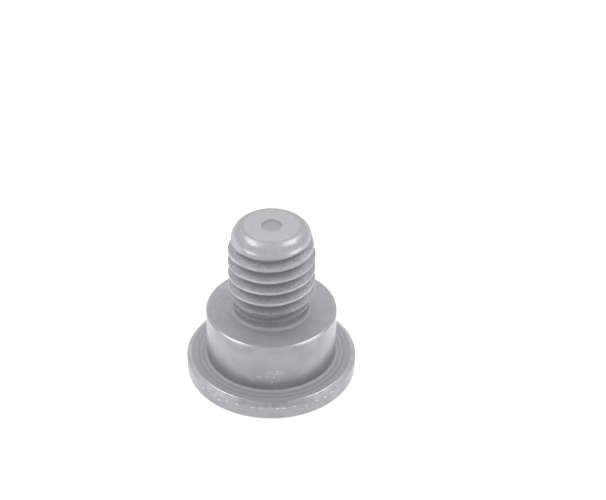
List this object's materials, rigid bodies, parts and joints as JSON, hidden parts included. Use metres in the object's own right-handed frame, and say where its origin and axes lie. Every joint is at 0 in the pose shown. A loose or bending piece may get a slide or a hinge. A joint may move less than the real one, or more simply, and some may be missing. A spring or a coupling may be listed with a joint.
{
  "type": "shoulder screw with a hex socket in its low head",
  "caption": "Short steel shoulder screw: low round head, plain wide shoulder and an M8 coarse threaded end with a rounded nose.",
  "frame": {"origin": "centre of the head's outer face, on the screw's axis, which is the surface it stands on", "axes": "+Z along the axis from the head to the threaded end, -Y towards the picture's camera, +X to the picture's right"},
  "size_m": [0.0158, 0.0158, 0.0158],
  "materials": {
    "satin_steel": "satin grey, turned and tumbled"
  },
  "bodies": {
    "root": {"shoulder_screw": "satin_steel"}
  },
  "joints": []
}
